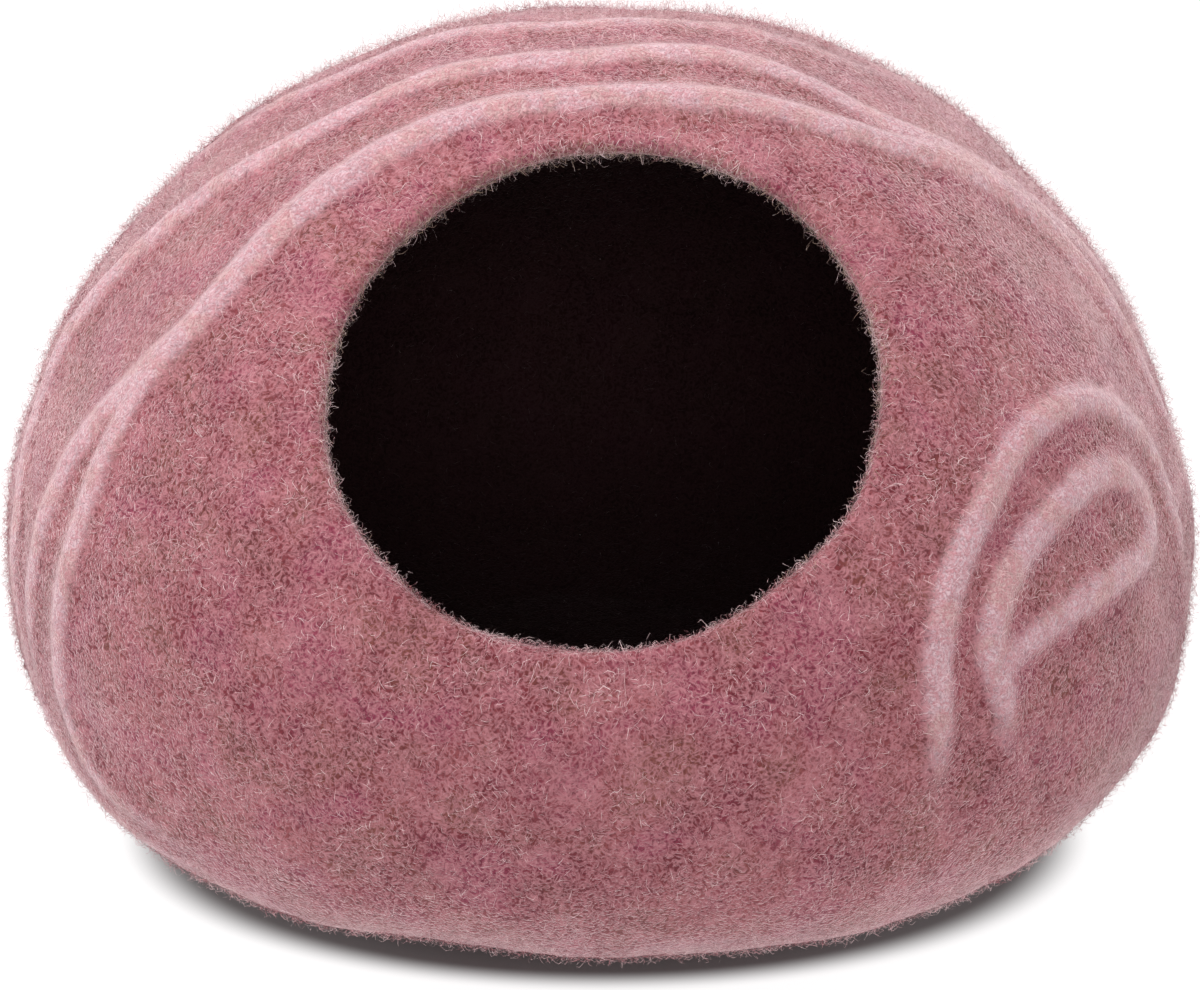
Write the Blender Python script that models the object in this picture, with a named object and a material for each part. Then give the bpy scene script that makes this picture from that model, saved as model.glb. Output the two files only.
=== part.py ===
"""A cat cave of thick wool felt: one seamless, egg-shaped shell that stands on its flattened base,
with a round mouth in its upper front and soft ribs raised on its outside.

The shell is a ball whose mouth side is pushed in, so that one skin runs over the outside, round the
lip and over the inside. Metres, +Z up, the mouth towards -Y, the origin under the middle of the base.
"""

import bmesh
import bpy
import numpy as np

# ---- Driving dimensions, in metres ----
WIDTH = 0.456          # the plain shell from side to side at its waist
DEPTH = 0.418          # from front to back
HEIGHT = 0.307         # from the floor to the crown, ribs left aside
WAIST_HEIGHT = 0.105   # the widest level above the floor
BELLY_DROP = 0.110     # the round underside would reach this far below it, but the floor cuts it flat
FELT = 0.008           # thickness of the felt
LIP_ROLL = 0.003       # how far the wall curls inwards at the mouth's lip
LIP_ROLL_RUN = 0.014   # and how far from the lip the curl dies away

# Roundness of the plan and of the section above and below the waist, where 2 is an ellipse
PLAN_POWER = 2.24
CROWN_POWER = 1.85
BELLY_POWER = 2.85

# ---- The mouth, in degrees seen from the middle of the waist ----
MOUTH_TILT = 45.0      # its axis above the horizontal, towards -Y
MOUTH_REACH = 28.3     # mean angle from that axis to the lip
# Uneven outline: waves round the mouth, then their cosine and sine parts in degrees
MOUTH_WAVES = (
    (1, 0.2, 0.4),
    (2, 0.3, 0.9),
)

# ---- Broad hollows and swellings of the hand-felted wall ----
# Columns: compass (degrees from the front towards +X), slope (degrees above the waist),
# rise (millimetres) and spread (millimetres)
SWELLINGS = (
    (-95, 8, 2.4, 110),
    (-66, -14, -1.8, 50),
    (-48, -28, 2.6, 50),
    (-20, -36, -1.6, 50),
    (20, -10, 1.4, 80),
    (92, 26, -2.0, 60),
    (86, -6, -1.2, 50),
    (130, 35, 2.0, 80),
    (180, 12, 1.8, 90),
    (-135, 40, -1.6, 80),
    (150, -15, -1.5, 70),
)

# ---- Ribs: low rounded ridges felted onto the outside ----
# Each rib has a half width in millimetres and a short table of stations. Columns: turn (degrees round
# the mouth's axis, 0 to the right and 90 at the top), away (degrees from that axis), rise (millimetres)
RIBS = {
    "brow": (7.0, (
        (177, 51.0, 0.8), (171, 45.8, 2.8), (164, 42.8, 3.8), (150, 39.6, 4.2), (137, 37.3, 4.2),
        (120, 35.6, 3.9), (102, 34.2, 3.5), (90, 34.2, 3.4), (77, 35.6, 3.5), (62, 38.8, 3.9),
        (52, 42.2, 4.2), (44, 46.8, 4.4), (37, 53.2, 4.6), (30, 60.4, 4.6), (22, 66.0, 4.0),
        (13, 70.0, 3.0), (1, 76.0, 2.0), (-12, 86.0, 0.5),
    )),
    "crest": (7.0, (
        (202, 78.0, 0.5), (192, 74.6, 2.0), (182, 72.4, 3.0), (173, 71.0, 3.3), (166, 68.6, 3.5),
        (158, 63.2, 3.6), (149, 56.8, 3.7), (137, 49.8, 3.8), (122, 46.0, 3.7), (108, 43.2, 3.4),
        (94, 41.5, 3.2), (82, 43.3, 3.3), (71, 45.6, 3.4), (60, 47.6, 3.4), (51, 49.0, 3.2),
        (44, 51.8, 3.2), (37, 57.6, 3.3), (31, 65.0, 3.2), (25, 73.0, 2.6), (16, 82.0, 1.2),
        (6, 91.0, 0.3),
    )),
    "cap": (7.0, (
        (148, 75.0, 0.5), (137, 67.0, 1.8), (125, 60.5, 2.4), (114, 55.6, 2.6), (104, 52.2, 2.6),
        (92, 50.8, 2.6), (79, 52.6, 2.2), (67, 56.5, 1.8), (56, 62.0, 1.3), (47, 70.0, 0.4),
    )),
    "inner_strand": (6.5, (
        (166, 43.2, 1.2), (173, 47.2, 2.6), (178, 50.5, 2.8), (183, 53.4, 2.8), (188, 56.0, 2.8),
        (193, 59.6, 2.8), (198, 64.0, 2.8), (204, 69.0, 2.4), (211, 70.8, 1.9), (218, 69.0, 1.4),
        (225, 66.0, 0.4),
    )),
    "outer_strand": (6.5, (
        (167, 44.0, 1.4), (173, 49.0, 3.0), (178, 54.8, 3.2), (185, 61.8, 3.2), (190, 66.4, 2.8),
        (195, 71.0, 2.0), (202, 76.0, 0.6),
    )),
    "low_fold": (7.0, (
        (193, 79.0, 0.5), (200, 76.8, 1.8), (208, 76.6, 2.4), (216, 74.6, 2.0), (224, 71.6, 1.2),
        (231, 68.0, 0.3),
    )),
    "outer_loop": (6.3, (
        (-50, 54.0, 0.5), (-45, 48.5, 2.2), (-39, 42.6, 3.0), (-31, 39.6, 3.2), (-23, 38.9, 3.2),
        (-14, 39.8, 3.2), (-5, 42.6, 3.2), (1, 47.4, 3.2), (3.4, 53.0, 3.1), (3.0, 59.0, 3.0),
        (0.5, 64.6, 2.7), (-5, 69.0, 2.3), (-12, 75.0, 0.8),
    )),
    "inner_loop": (7.0, (
        (-40, 56.0, 0.6), (-36, 50.8, 2.4), (-32, 46.0, 3.0), (-25, 44.3, 3.2), (-18, 45.4, 3.2),
        (-11, 48.4, 3.2), (-6, 52.6, 3.2), (-4.4, 57.6, 3.1), (-6, 62.0, 3.0), (-9, 63.0, 2.9),
        (-13, 60.4, 2.8), (-18, 55.8, 2.8), (-24, 51.8, 2.6), (-31, 48.8, 2.2),
    )),
}
STATION_STEPS = 5        # straight steps between two stations
RIB_BLEND = 3            # ribs that run together join softly, by this power
RIB_FADE = (0.008, 0.035)  # heights above the floor between which the ribs rise to their full height

# ---- Fineness of the mesh ----
BALL_SEGMENTS = 380
BALL_RINGS = 300
INSIDE_SHARE = 0.26      # share of the ball's rings on the inside of the felt
LIP_SHARE = 0.06         # share of them round the lip
RIB_START = 0.03         # share of the outside, from the lip, over which ribs come to their full height
TRIANGLES = 11200        # kept of the finished shell
FLAT_WITHIN = 0.0006     # what lies this low is part of the flat base

ROSE = (0.485, 0.171, 0.205, 1.0)
MILLIMETRE = 0.001
SMALL_STEP = 1e-5        # metres or radians, for slopes taken as differences

HEART = np.array([0.0, 0.0, WAIST_HEIGHT])
TILT = np.radians(MOUTH_TILT)
MOUTH_AXIS = np.array([0.0, -np.cos(TILT), np.sin(TILT)])
MOUTH_RIGHT = np.array([1.0, 0.0, 0.0])
MOUTH_UP = np.array([0.0, np.sin(TILT), np.cos(TILT)])


def fullness(points):
    """1 on the plain skin and less inside it: the plan's superellipse of x and y, joined with the
    height from the waist by one power above the waist and another below it."""
    x, y, z = (points - HEART).T
    plan = (np.abs(2 * x / WIDTH) ** PLAN_POWER + np.abs(2 * y / DEPTH) ** PLAN_POWER) ** (1 / PLAN_POWER)
    crown = (plan**CROWN_POWER + np.abs(z / (HEIGHT - WAIST_HEIGHT)) ** CROWN_POWER) ** (1 / CROWN_POWER)
    belly = (plan**BELLY_POWER + np.abs(z / BELLY_DROP) ** BELLY_POWER) ** (1 / BELLY_POWER)
    return np.where(z > 0, crown, belly)


def outward(points):
    """Unit normals of the plain skin, from the slope of its fullness."""
    steps = SMALL_STEP * np.eye(3)
    slope = np.stack([fullness(points + step) - fullness(points - step) for step in steps], axis=1)
    return slope / np.linalg.norm(slope, axis=1, keepdims=True)


def swelling(points):
    """Height of the broad hollows and swellings, each a round bell about its own spot."""
    total = np.zeros(len(points))
    for compass, slope, rise, spread in SWELLINGS:
        across, lift = np.radians(compass), np.radians(slope)
        aim = np.array([np.sin(across) * np.cos(lift), -np.cos(across) * np.cos(lift), np.sin(lift)])
        spot = HEART + aim / fullness((HEART + aim)[None])
        away = np.linalg.norm(points - spot, axis=1)
        total += rise * np.exp(-((away / (spread * MILLIMETRE)) ** 2))
    return total * MILLIMETRE


def skin(turn, away):
    """Points of the plain outer skin: rays from the heart, at the angle away from the mouth's axis
    and the turn round it, run out to fullness 1, swelled a little and cut flat by the floor."""
    aside = np.cos(turn)[:, None] * MOUTH_RIGHT + np.sin(turn)[:, None] * MOUTH_UP
    rays = np.cos(away)[:, None] * MOUTH_AXIS + np.sin(away)[:, None] * aside
    points = HEART + rays / fullness(HEART + rays)[:, None]
    points += outward(points) * swelling(points)[:, None]
    points[:, 2] = np.maximum(points[:, 2], 0.0)
    return points


def lip_angle(turn):
    """Angle from the mouth's axis to the lip: its mean and the waves of its uneven outline."""
    waves = [cos * np.cos(n * turn) + sin * np.sin(n * turn) for n, cos, sin in MOUTH_WAVES]
    return np.radians(MOUTH_REACH + sum(waves))


def smooth_run(stations):
    """Rows of a smooth curve through a rib's stations: Catmull-Rom pieces of STATION_STEPS steps."""
    rows = np.array(stations)
    ends = np.vstack([2 * rows[0] - rows[1], rows, 2 * rows[-1] - rows[-2]])
    before, start, stop, after = (ends[k : len(ends) - 3 + k, None] for k in range(4))
    t = (np.arange(STATION_STEPS) / STATION_STEPS)[None, :, None]
    curve = start + 0.5 * t * (
        (stop - before)
        + t * (2 * before - 5 * start + 4 * stop - after + t * (3 * start - before - 3 * stop + after))
    )
    return np.vstack([curve.reshape(-1, rows.shape[1]), rows[-1:]])


def rib_height(points):
    """Height of the ribs over each point: each rib is a rounded bell across its run, as high as its
    stations say, and ribs that meet are joined by the RIB_BLEND power of their heights."""
    total = np.zeros(len(points))
    for half_width, stations in RIBS.values():
        turn, away, rise = smooth_run(stations).T
        run = skin(np.radians(turn), np.radians(away))
        height = np.zeros(len(points))
        for start, stop, low, high in zip(run[:-1], run[1:], rise[:-1], rise[1:]):
            along = stop - start
            share = np.clip((points - start) @ along / (along @ along), 0, 1)
            gap = np.linalg.norm(points - start - share[:, None] * along, axis=1)
            bell = np.exp(-((gap / (half_width * MILLIMETRE)) ** 2))
            height = np.maximum(height, (low + share * (high - low)) * bell)
        total += np.maximum(height, 0) ** RIB_BLEND
    low, high = RIB_FADE
    fade = np.clip((points[:, 2] - low) / (high - low), 0, 1)
    return total ** (1 / RIB_BLEND) * MILLIMETRE * fade * fade * (3 - 2 * fade)


def felted(turn, along):
    """The shell's skin. `along` runs from 0 at the back of the inside, over the inside to the lip,
    round the lip and over the outside to 1 at its back. The inside lies a felt's thickness within
    the plain skin, the lip is a half round between them, the wall curls in a little towards it,
    and the outside carries the ribs."""
    lip_start, lip_stop = INSIDE_SHARE, INSIDE_SHARE + LIP_SHARE
    edge = lip_angle(turn) + 0.5 * FELT / (0.5 * DEPTH)
    inside = np.clip(1 - along / lip_start, 0, 1)
    outside = np.clip((along - lip_stop) / (1 - lip_stop), 0, 1)
    away = edge + np.maximum(inside, outside) * (np.pi - edge)
    plain = skin(turn, away)
    normal = outward(plain)
    from_lip = (away - edge) * 0.5 * DEPTH
    curl = LIP_ROLL * np.exp(-((from_lip / LIP_ROLL_RUN) ** 2))
    middle = plain - (0.5 * FELT + curl)[:, None] * normal
    backwards = skin(turn, away + SMALL_STEP) - plain
    inwards = np.sum(backwards * normal, axis=1, keepdims=True) * normal - backwards
    inwards /= np.linalg.norm(inwards, axis=1, keepdims=True)
    roll = np.clip((along - lip_start) / LIP_SHARE, 0, 1) * np.pi
    points = middle - 0.5 * FELT * (np.cos(roll)[:, None] * normal - np.sin(roll)[:, None] * inwards)
    raised = rib_height(plain) * np.clip(outside / RIB_START, 0, 1)
    points += raised[:, None] * normal
    floor = np.where(along < lip_stop, FELT, 0.0)
    on_base = points[:, 2] < floor
    points[on_base, 2] = floor[on_base]
    return points


def pushed_in_ball():
    """A UV sphere whose poles become the back of the inside and the back of the outside."""
    ball = bmesh.new()
    bmesh.ops.create_uvsphere(ball, u_segments=BALL_SEGMENTS, v_segments=BALL_RINGS, radius=1.0)
    mesh = bpy.data.meshes.new("felt_shell")
    ball.to_mesh(mesh)
    ball.free()
    where = np.empty(3 * len(mesh.vertices))
    mesh.vertices.foreach_get("co", where)
    x, y, z = where.reshape(-1, 3).T
    along = np.arccos(np.clip(z, -1, 1)) / np.pi
    mesh.vertices.foreach_set("co", felted(np.arctan2(y, x), along).ravel())
    mesh.update()
    return mesh


def felt_material():
    """Dusty rose wool: rough all over and not metallic."""
    material = bpy.data.materials.new("rose_wool_felt")
    material.use_nodes = True
    shader = material.node_tree.nodes["Principled BSDF"]
    shader.inputs["Base Color"].default_value = ROSE
    shader.inputs["Roughness"].default_value = 0.95
    shader.inputs["Metallic"].default_value = 0.0
    return material


def thinned(shell):
    """The shell with its smooth stretches in fewer faces and its base exactly level."""
    thinner = shell.modifiers.new("fewer_faces", "DECIMATE")
    thinner.ratio = TRIANGLES / (2 * BALL_SEGMENTS * (BALL_RINGS - 1))
    thinner.use_collapse_triangulate = True
    evaluated = shell.evaluated_get(bpy.context.evaluated_depsgraph_get())
    mesh = bpy.data.meshes.new_from_object(evaluated)
    where = np.empty(3 * len(mesh.vertices))
    mesh.vertices.foreach_get("co", where)
    where = where.reshape(-1, 3)
    where[where[:, 2] < FLAT_WITHIN, 2] = 0.0
    middle = 0.5 * (where.min(axis=0) + where.max(axis=0))
    where[:, :2] -= middle[:2]
    mesh.vertices.foreach_set("co", where.ravel())
    mesh.update()
    mesh.shade_smooth()
    return mesh


def build():
    for old in list(bpy.data.objects):
        bpy.data.objects.remove(old, do_unlink=True)
    collection = bpy.data.collections.new("felt_cat_cave")
    bpy.context.scene.collection.children.link(collection)
    shell = bpy.data.objects.new("felt_shell", pushed_in_ball())
    collection.objects.link(shell)
    shell.data = thinned(shell)
    shell.modifiers.clear()
    shell.data.materials.append(felt_material())


build()
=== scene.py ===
"""A cat cave of thick rose wool felt, dressed for its picture: one seamless felted shell with a round
mouth and soft pale ribs, and the loose wool that lies on it and stands off it.

Everything is in metres, +Z up, the mouth towards -Y, the middle of the base at the origin.
"""

import bpy
import numpy as np
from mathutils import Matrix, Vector


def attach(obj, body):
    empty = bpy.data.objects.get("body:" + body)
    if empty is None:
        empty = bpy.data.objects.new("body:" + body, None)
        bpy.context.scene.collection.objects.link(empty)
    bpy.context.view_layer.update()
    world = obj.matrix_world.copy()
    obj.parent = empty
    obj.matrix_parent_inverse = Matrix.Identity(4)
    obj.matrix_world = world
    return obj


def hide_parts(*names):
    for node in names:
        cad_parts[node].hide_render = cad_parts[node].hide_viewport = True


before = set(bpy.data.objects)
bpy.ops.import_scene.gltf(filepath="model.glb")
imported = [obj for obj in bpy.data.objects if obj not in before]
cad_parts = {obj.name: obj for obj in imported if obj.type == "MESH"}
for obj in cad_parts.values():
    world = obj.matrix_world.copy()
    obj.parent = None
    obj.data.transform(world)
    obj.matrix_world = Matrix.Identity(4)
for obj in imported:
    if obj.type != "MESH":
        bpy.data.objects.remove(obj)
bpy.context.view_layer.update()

MILLIMETRE = 0.001
SMALL_STEP = 1e-5

# ---- The shell's driving dimensions, as the solid has them ----
WIDTH = 0.456
DEPTH = 0.418
HEIGHT = 0.307
WAIST_HEIGHT = 0.105
BELLY_DROP = 0.110
FELT = 0.008
LIP_ROLL = 0.003                 # how far the felt rolls inwards at the lip
LIP_ROLL_RUN = 0.014             # and over what distance from it
PLAN_POWER = 2.24
CROWN_POWER = 1.85
BELLY_POWER = 2.85
MOUTH_TILT = 45.0                # degrees by which the mouth's axis rises
MOUTH_REACH = 28.3               # degrees from that axis to the lip
# Waves of the mouth's outline. Columns: waves in a full turn, their cosine and sine parts (degrees)
MOUTH_WAVES = (
    (1, 0.2, 0.4),
    (2, 0.3, 0.9),
)
# Columns: compass and slope (degrees), rise and spread (millimetres)
SWELLINGS = (
    (-95, 8, 2.4, 110),
    (-66, -14, -1.8, 50),
    (-48, -28, 2.6, 50),
    (-20, -36, -1.6, 50),
    (20, -10, 1.4, 80),
    (92, 26, -2.0, 60),
    (86, -6, -1.2, 50),
    (130, 35, 2.0, 80),
    (180, 12, 1.8, 90),
    (-135, 40, -1.6, 80),
    (150, -15, -1.5, 70),
)
# Each rib: half width (millimetres) and stations of turn, away (degrees) and rise (millimetres)
RIBS = {
    "brow": (7.0, (
        (177, 51.0, 0.8), (171, 45.8, 2.8), (164, 42.8, 3.8), (150, 39.6, 4.2), (137, 37.3, 4.2),
        (120, 35.6, 3.9), (102, 34.2, 3.5), (90, 34.2, 3.4), (77, 35.6, 3.5), (62, 38.8, 3.9),
        (52, 42.2, 4.2), (44, 46.8, 4.4), (37, 53.2, 4.6), (30, 60.4, 4.6), (22, 66.0, 4.0),
        (13, 70.0, 3.0), (1, 76.0, 2.0), (-12, 86.0, 0.5),
    )),
    "crest": (7.0, (
        (202, 78.0, 0.5), (192, 74.6, 2.0), (182, 72.4, 3.0), (173, 71.0, 3.3), (166, 68.6, 3.5),
        (158, 63.2, 3.6), (149, 56.8, 3.7), (137, 49.8, 3.8), (122, 46.0, 3.7), (108, 43.2, 3.4),
        (94, 41.5, 3.2), (82, 43.3, 3.3), (71, 45.6, 3.4), (60, 47.6, 3.4), (51, 49.0, 3.2),
        (44, 51.8, 3.2), (37, 57.6, 3.3), (31, 65.0, 3.2), (25, 73.0, 2.6), (16, 82.0, 1.2),
        (6, 91.0, 0.3),
    )),
    "cap": (7.0, (
        (148, 75.0, 0.5), (137, 67.0, 1.8), (125, 60.5, 2.4), (114, 55.6, 2.6), (104, 52.2, 2.6),
        (92, 50.8, 2.6), (79, 52.6, 2.2), (67, 56.5, 1.8), (56, 62.0, 1.3), (47, 70.0, 0.4),
    )),
    "inner_strand": (6.5, (
        (166, 43.2, 1.2), (173, 47.2, 2.6), (178, 50.5, 2.8), (183, 53.4, 2.8), (188, 56.0, 2.8),
        (193, 59.6, 2.8), (198, 64.0, 2.8), (204, 69.0, 2.4), (211, 70.8, 1.9), (218, 69.0, 1.4),
        (225, 66.0, 0.4),
    )),
    "outer_strand": (6.5, (
        (167, 44.0, 1.4), (173, 49.0, 3.0), (178, 54.8, 3.2), (185, 61.8, 3.2), (190, 66.4, 2.8),
        (195, 71.0, 2.0), (202, 76.0, 0.6),
    )),
    "low_fold": (7.0, (
        (193, 79.0, 0.5), (200, 76.8, 1.8), (208, 76.6, 2.4), (216, 74.6, 2.0), (224, 71.6, 1.2),
        (231, 68.0, 0.3),
    )),
    "outer_loop": (6.3, (
        (-50, 54.0, 0.5), (-45, 48.5, 2.2), (-39, 42.6, 3.0), (-31, 39.6, 3.2), (-23, 38.9, 3.2),
        (-14, 39.8, 3.2), (-5, 42.6, 3.2), (1, 47.4, 3.2), (3.4, 53.0, 3.1), (3.0, 59.0, 3.0),
        (0.5, 64.6, 2.7), (-5, 69.0, 2.3), (-12, 75.0, 0.8),
    )),
    "inner_loop": (7.0, (
        (-40, 56.0, 0.6), (-36, 50.8, 2.4), (-32, 46.0, 3.0), (-25, 44.3, 3.2), (-18, 45.4, 3.2),
        (-11, 48.4, 3.2), (-6, 52.6, 3.2), (-4.4, 57.6, 3.1), (-6, 62.0, 3.0), (-9, 63.0, 2.9),
        (-13, 60.4, 2.8), (-18, 55.8, 2.8), (-24, 51.8, 2.6), (-31, 48.8, 2.2),
    )),
}
STATION_STEPS = 6                # steps of a rib's run between two stations
RIB_BLEND = 3                    # power by which ribs that meet are joined
RIB_FADE = (0.008, 0.035)        # heights between which the ribs fade out towards the floor
RIB_START = 0.03                 # share of the outside, from the lip, over which they begin
FULL_RIB = 4.0 * MILLIMETRE      # rise of a rib that counts as full in the materials

# ---- Fineness of the dressed shell ----
COLUMNS = 336                    # faces round the mouth's axis
ROWS_INSIDE = 66                 # rows of faces over the inside, round the lip and over the outside
ROWS_LIP = 18
ROWS_OUTSIDE = 206
SEAM_TURN = -90.0                # where the wrap of the shell's own map begins, under the mouth
LIP_TURN = 0.25 * np.pi          # stretch of the lip's roll over which the felt turns to the painted shade of the inside

# ---- Slow changes over the skin, as sums of waves of random directions ----
WAVES = 14                       # waves in each sum
UNEVEN = (                       # lumps of the hand-felted skin: wave length and rise, in millimetres
    (80.0, 0.50),
    (38.0, 0.25),
    (18.0, 0.10),
)
UNEVEN_SEED = 11
FLOW_LENGTH = 160.0              # millimetres over which the lie of the wool turns
FLOW_SWING = 2.2 / 3             # radians that each of its waves turns it by
FLOW_SEED = 23
PALER_LENGTH = 36.0              # millimetres over which the loose wool's paleness changes
PALER_SEED = 37

# ---- Loose wool ----
# Columns: piece's name, number of strands, shortest and longest run over the felt (millimetres), width
# (millimetres), rise (mean and spread, millimetres), bend (degrees), how far a strand's flat side may
# turn from the felt (degrees), and how much denser it is at the lip
WOOL = (
    ("lying_wool", 49000, 3.0, 7.0, 0.18, 0.5, 0.3, 150, 40, 4.0),
    ("short_wool", 49000, 2.0, 5.0, 0.15, 1.3, 0.6, 140, 70, 12.0),
    ("veil_wool_1", 49000, 1.8, 4.5, 0.13, 2.5, 0.9, 150, 90, 7.0),
    ("veil_wool_2", 49000, 2.5, 7.0, 0.12, 4.0, 1.5, 150, 90, 1.5),
)
WOOL_SEED = 100                  # the first piece's seed; each next piece has the next number
STEPS = 3                        # straight steps of a strand
HEADING_SPREAD = 0.8             # radians by which the strands stray from the lie of the wool
WOBBLE = 0.25                    # share of its bend by which a step of a strand turns aside
ARCH = (1.0, 2.7)                # radians of a sine that a strand's rise runs through, least and most
WIDTH_SPREAD = (0.7, 1.3)        # thinnest and widest strand, as shares of the piece's width
ROOT_DEPTH = 0.15 * MILLIMETRE   # how deep a strand's root lies in the felt
INSIDE_WOOL = 0.12               # how dense the wool is inside
BARE_BELOW = 1.5 * MILLIMETRE    # no strand starts below this height, on the flat of the base
FLOOR_GAP = 0.3 * MILLIMETRE     # and none reaches lower than this
LIP_CREST, LIP_REACH = 0.38, 0.55    # share of the lip's roll where its wool is densest, and how far
RISE_LOW, RISE_HIGH = 0.48, 1.12     # the wool stands less at the floor than at the crown
RISE_AT_LIP = 0.75               # and less at the lip

# ---- Tones of the loose wool: from 0, deep rose, up to PALEST; the beige strands have tones above it ----
TONE_LOW, TONE_RANGE = 0.08, 0.62
TONE_SHAPE = 1.5                 # above 1, the tones in the middle are more frequent
PALER_SWING = 0.20               # how much a strand's tone follows the slow changes
PALER_LOW, LOW_PLACES = 0.16, 0.085  # how much paler it is at the floor, and up to which height
PALER_AT_LIP = 0.12              # how much paler it is at the lip
BACKLIT_PALER_BY = 0.17                  # painted backlight: how much paler it gets for each millimetre that it stands off
PALEST = 0.9
BEIGE_TONES = (0.92, 1.0)
BEIGE_AT_LIP = 0.7               # share of the strands at the lip's top that are beige or brown
BEIGE_FROM, BEIGE_TO = 0.17, 0.26    # heights between which the lip's wool turns beige

# ---- The map of a strand's own cell, as shares of the cell ----
CELL_LEFT, CELL_MIDDLE, CELL_RIGHT = 0.15, 0.5, 0.85
CELL_ROOT, CELL_TIP = 0.1, 0.9

# ---- The photograph's view ----
CAMERA_RISE = 30.0               # degrees above the horizon
CAMERA_DISTANCE = 1.5
CAMERA_TARGET = (0.0013, 0.0, 0.1166)
CAMERA_LENS = 115.35             # millimetres
CAMERA_SENSOR = 36.0             # millimetres
CAMERA_CLIP = (0.05, 50.0)

HEART = np.array([0.0, 0.0, WAIST_HEIGHT])
TILT = np.radians(MOUTH_TILT)
MOUTH_AXIS = np.array([0.0, -np.cos(TILT), np.sin(TILT)])
MOUTH_RIGHT = np.array([1.0, 0.0, 0.0])
MOUTH_UP = np.array([0.0, np.sin(TILT), np.cos(TILT)])


# ---------------------------------------------------------------- the shell's form


def unit(vectors):
    """Each vector divided by its length."""
    return vectors / np.maximum(np.linalg.norm(vectors, axis=-1, keepdims=True), 1e-12)


def fullness(points):
    """1 on the plain skin and less inside it: the plan's superellipse of x and y, joined with the
    height from the waist by one power above the waist and another below it."""
    x, y, z = (points - HEART).T
    plan = (np.abs(2 * x / WIDTH) ** PLAN_POWER + np.abs(2 * y / DEPTH) ** PLAN_POWER) ** (1 / PLAN_POWER)
    crown = (plan**CROWN_POWER + np.abs(z / (HEIGHT - WAIST_HEIGHT)) ** CROWN_POWER) ** (1 / CROWN_POWER)
    belly = (plan**BELLY_POWER + np.abs(z / BELLY_DROP) ** BELLY_POWER) ** (1 / BELLY_POWER)
    return np.where(z > 0, crown, belly)


def outward(points):
    """Unit normals of the plain skin: the slope of its fullness, by central differences."""
    steps = SMALL_STEP * np.eye(3)
    return unit(np.stack([fullness(points + step) - fullness(points - step) for step in steps], axis=1))


def swelling(points):
    """Height of the broad swellings: the sum of rise * exp(-(distance / spread)^2) over their spots."""
    total = np.zeros(len(points))
    for compass, slope, rise, spread in SWELLINGS:
        across, lift = np.radians(compass), np.radians(slope)
        aim = np.array([np.sin(across) * np.cos(lift), -np.cos(across) * np.cos(lift), np.sin(lift)])
        spot = HEART + aim / fullness((HEART + aim)[None])
        away = np.linalg.norm(points - spot, axis=1)
        total += rise * np.exp(-((away / (spread * MILLIMETRE)) ** 2))
    return total * MILLIMETRE


def skin(turn, away):
    """Plain outer skin: heart + ray / fullness(ray), plus normal * swelling, cut flat at z = 0. The ray
    is cos(away) * axis + sin(away) * (cos(turn) * right + sin(turn) * up), about the mouth's axis."""
    aside = np.cos(turn)[:, None] * MOUTH_RIGHT + np.sin(turn)[:, None] * MOUTH_UP
    rays = np.cos(away)[:, None] * MOUTH_AXIS + np.sin(away)[:, None] * aside
    points = HEART + rays / fullness(HEART + rays)[:, None]
    points += outward(points) * swelling(points)[:, None]
    points[:, 2] = np.maximum(points[:, 2], 0.0)
    return points


def lip_angle(turn):
    """Angle from the mouth's axis to the lip: mean + sum of a * cos(n turn) + b * sin(n turn)."""
    waves = [cos * np.cos(n * turn) + sin * np.sin(n * turn) for n, cos, sin in MOUTH_WAVES]
    return np.radians(MOUTH_REACH + sum(waves))


def smooth_run(stations):
    """A smooth curve through a rib's stations: Catmull-Rom pieces of STATION_STEPS steps."""
    rows = np.array(stations)
    ends = np.vstack([2 * rows[0] - rows[1], rows, 2 * rows[-1] - rows[-2]])
    before, start, stop, after = (ends[k : len(ends) - 3 + k, None] for k in range(4))
    t = (np.arange(STATION_STEPS) / STATION_STEPS)[None, :, None]
    curve = start + 0.5 * t * (
        (stop - before)
        + t * (2 * before - 5 * start + 4 * stop - after + t * (3 * start - before - 3 * stop + after))
    )
    return np.vstack([curve.reshape(-1, rows.shape[1]), rows[-1:]])


def rib_height(points):
    """Height of the ribs: each is rise * exp(-(gap to its run / half width)^2), and they join as
    (sum of height^RIB_BLEND)^(1 / RIB_BLEND), fading out smoothly near the floor."""
    total = np.zeros(len(points))
    for half_width, stations in RIBS.values():
        turn, away, rise = smooth_run(stations).T
        run = skin(np.radians(turn), np.radians(away))
        height = np.zeros(len(points))
        for start, stop, low, high in zip(run[:-1], run[1:], rise[:-1], rise[1:]):
            along = stop - start
            share = np.clip((points - start) @ along / (along @ along), 0, 1)
            gap = np.linalg.norm(points - start - share[:, None] * along, axis=1)
            bell = np.exp(-((gap / (half_width * MILLIMETRE)) ** 2))
            height = np.maximum(height, (low + share * (high - low)) * bell)
        total += np.maximum(height, 0) ** RIB_BLEND
    low, high = RIB_FADE
    fade = np.clip((points[:, 2] - low) / (high - low), 0, 1)
    return total ** (1 / RIB_BLEND) * MILLIMETRE * fade * fade * (3 - 2 * fade)


def waves_of(points, luck, length):
    """A slow change over the place, with no seam and no grain: the sum of the sines of WAVES waves of
    one length (millimetres), each of a random direction and phase."""
    ways = unit(luck.normal(size=(WAVES, 3))) * 2 * np.pi / (length * MILLIMETRE)
    phases = luck.uniform(0, 2 * np.pi, WAVES)
    return np.sin(points @ ways.T + phases).sum(axis=-1)


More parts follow.
